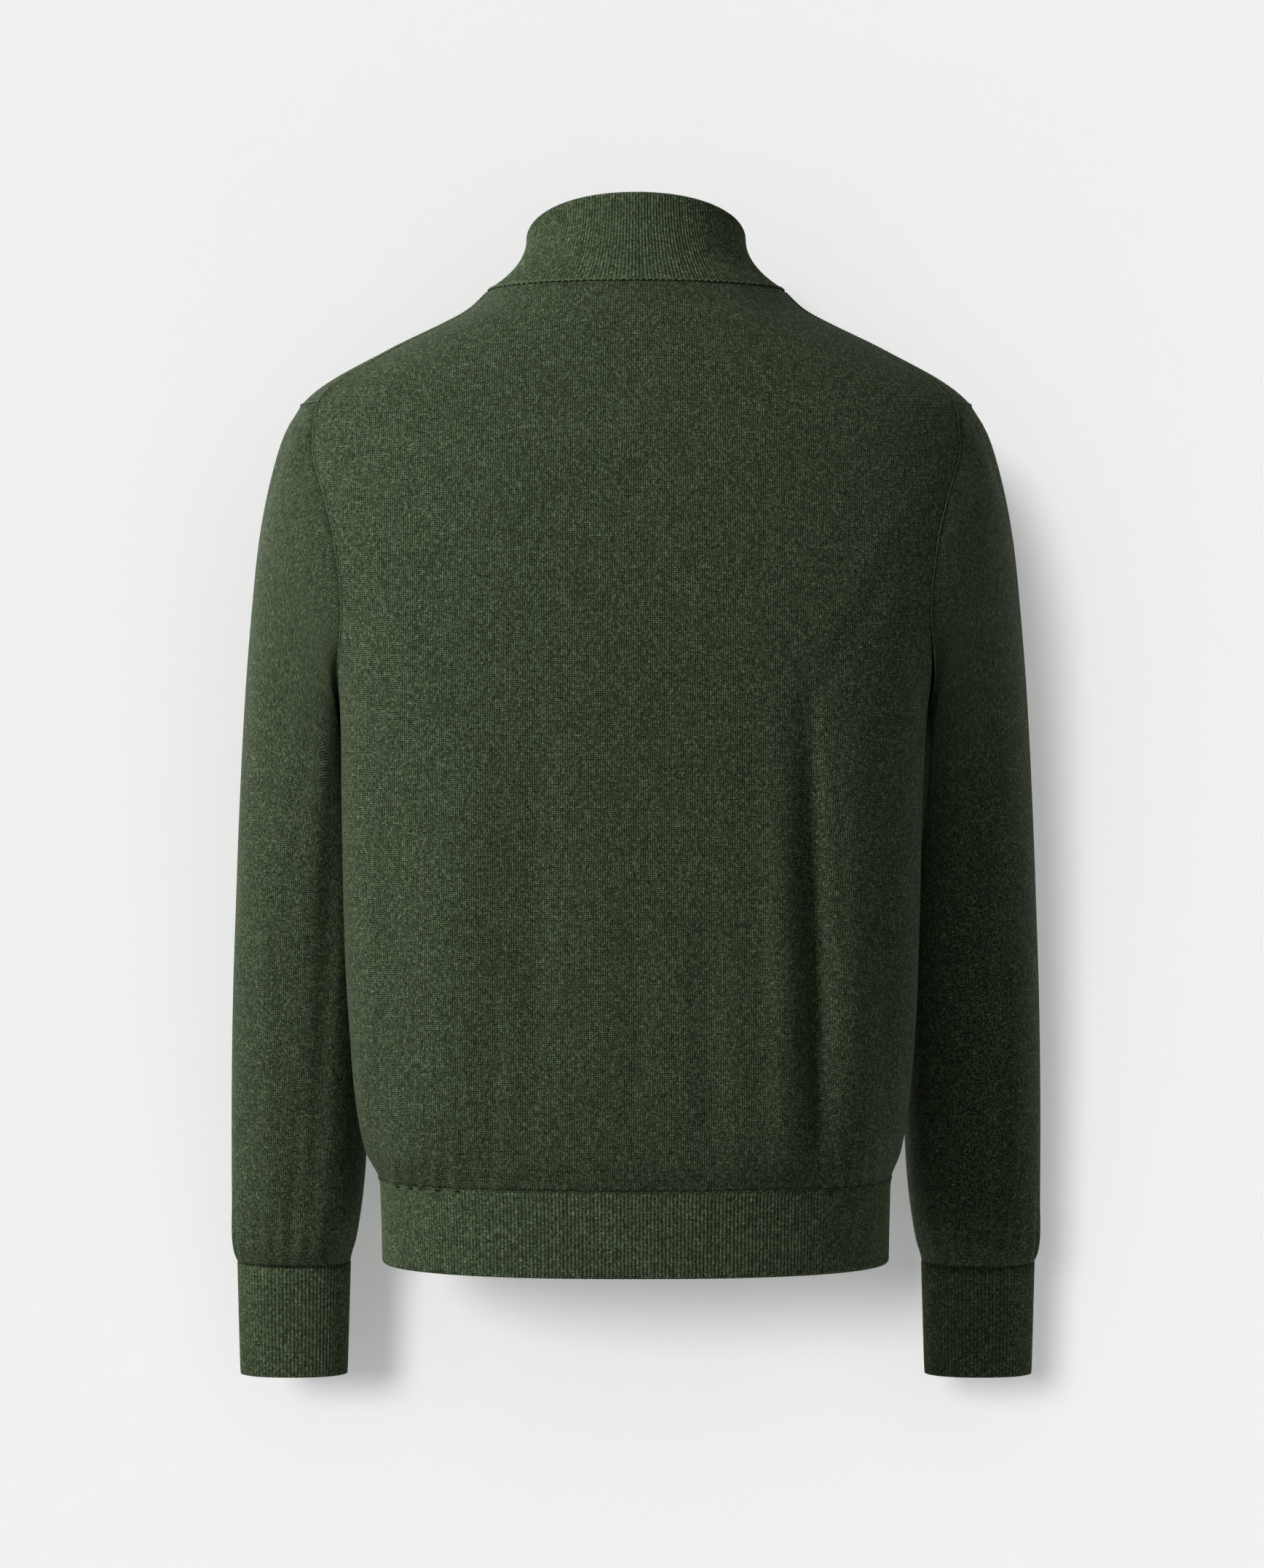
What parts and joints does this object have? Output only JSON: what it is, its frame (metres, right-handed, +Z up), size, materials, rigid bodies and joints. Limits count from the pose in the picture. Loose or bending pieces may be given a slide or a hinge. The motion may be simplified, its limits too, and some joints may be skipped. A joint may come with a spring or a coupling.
{
  "type": "quarter zip sweater",
  "caption": "Fine-gauge knitted quarter zip sweater in its worn, hollow form, with ribbed stand collar, hem and cuffs and a closed front zip.",
  "frame": {"origin": "middle of the neck, level with the back neckline, between the shoulders that carry the garment", "axes": "+Z up, the front faces -Y, the wearer's left is +X"},
  "size_m": [0.5696, 0.246, 0.813],
  "materials": {
    "knit": "fine-gauge melange moss green jersey knit, matt",
    "rib": "fine melange moss green rib knit, matt",
    "zip_tape": "dark moss green woven zip tape",
    "zip_metal": "dark plated zip metal"
  },
  "bodies": {
    "sweater": {"back_panel": "knit", "front_panel": "knit", "sleeve_left": "knit", "sleeve_right": "knit", "cuff_left": "rib", "cuff_right": "rib", "hem_band": "rib", "collar": "rib", "zip_tape_left": "zip_tape", "zip_tape_right": "zip_tape", "zip_chain": "zip_metal", "zip_bottom_stop": "zip_metal", "zip_slider": "zip_metal"},
    "zip_pull": {"zip_pull_tab": "zip_metal"}
  },
  "joints": [
    {"name": "pull_tab_swing", "type": "hinge", "parent": "sweater", "child": "zip_pull", "pos_m": [0, -0.06346, 0.0014], "axis": [-1, 0, 0], "range_deg": [0, 165]}
  ]
}
